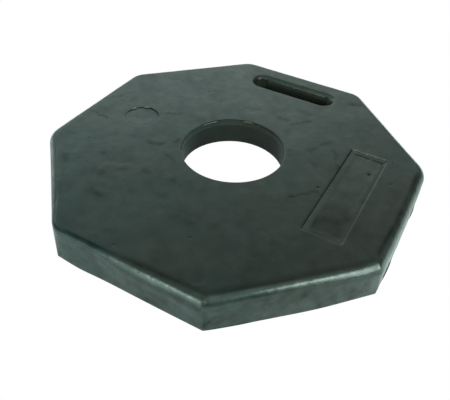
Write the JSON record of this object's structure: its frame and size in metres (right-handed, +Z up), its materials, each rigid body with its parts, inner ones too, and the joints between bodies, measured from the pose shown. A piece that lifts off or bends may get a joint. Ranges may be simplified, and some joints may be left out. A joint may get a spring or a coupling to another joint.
{
  "type": "bollard base",
  "caption": "Heavy octagonal rubber base that slides over a bollard post: straight central bore, hand slot for lifting, rolled top edge and blank inlays in its top face.",
  "frame": {"origin": "on the floor, on the axis of the post bore", "axes": "+Z up along the bore, +Y towards the hand slot, +X towards the long inlay"},
  "size_m": [0.4, 0.4, 0.0373],
  "materials": {
    "body_rubber": "satin moulded rubber, dark grey-green",
    "inlay_rubber": "matt moulded rubber, a shade darker"
  },
  "bodies": {
    "root": {"rubber_body": "body_rubber", "inlay_plate": "inlay_rubber", "inlay_disc": "inlay_rubber"}
  },
  "joints": []
}
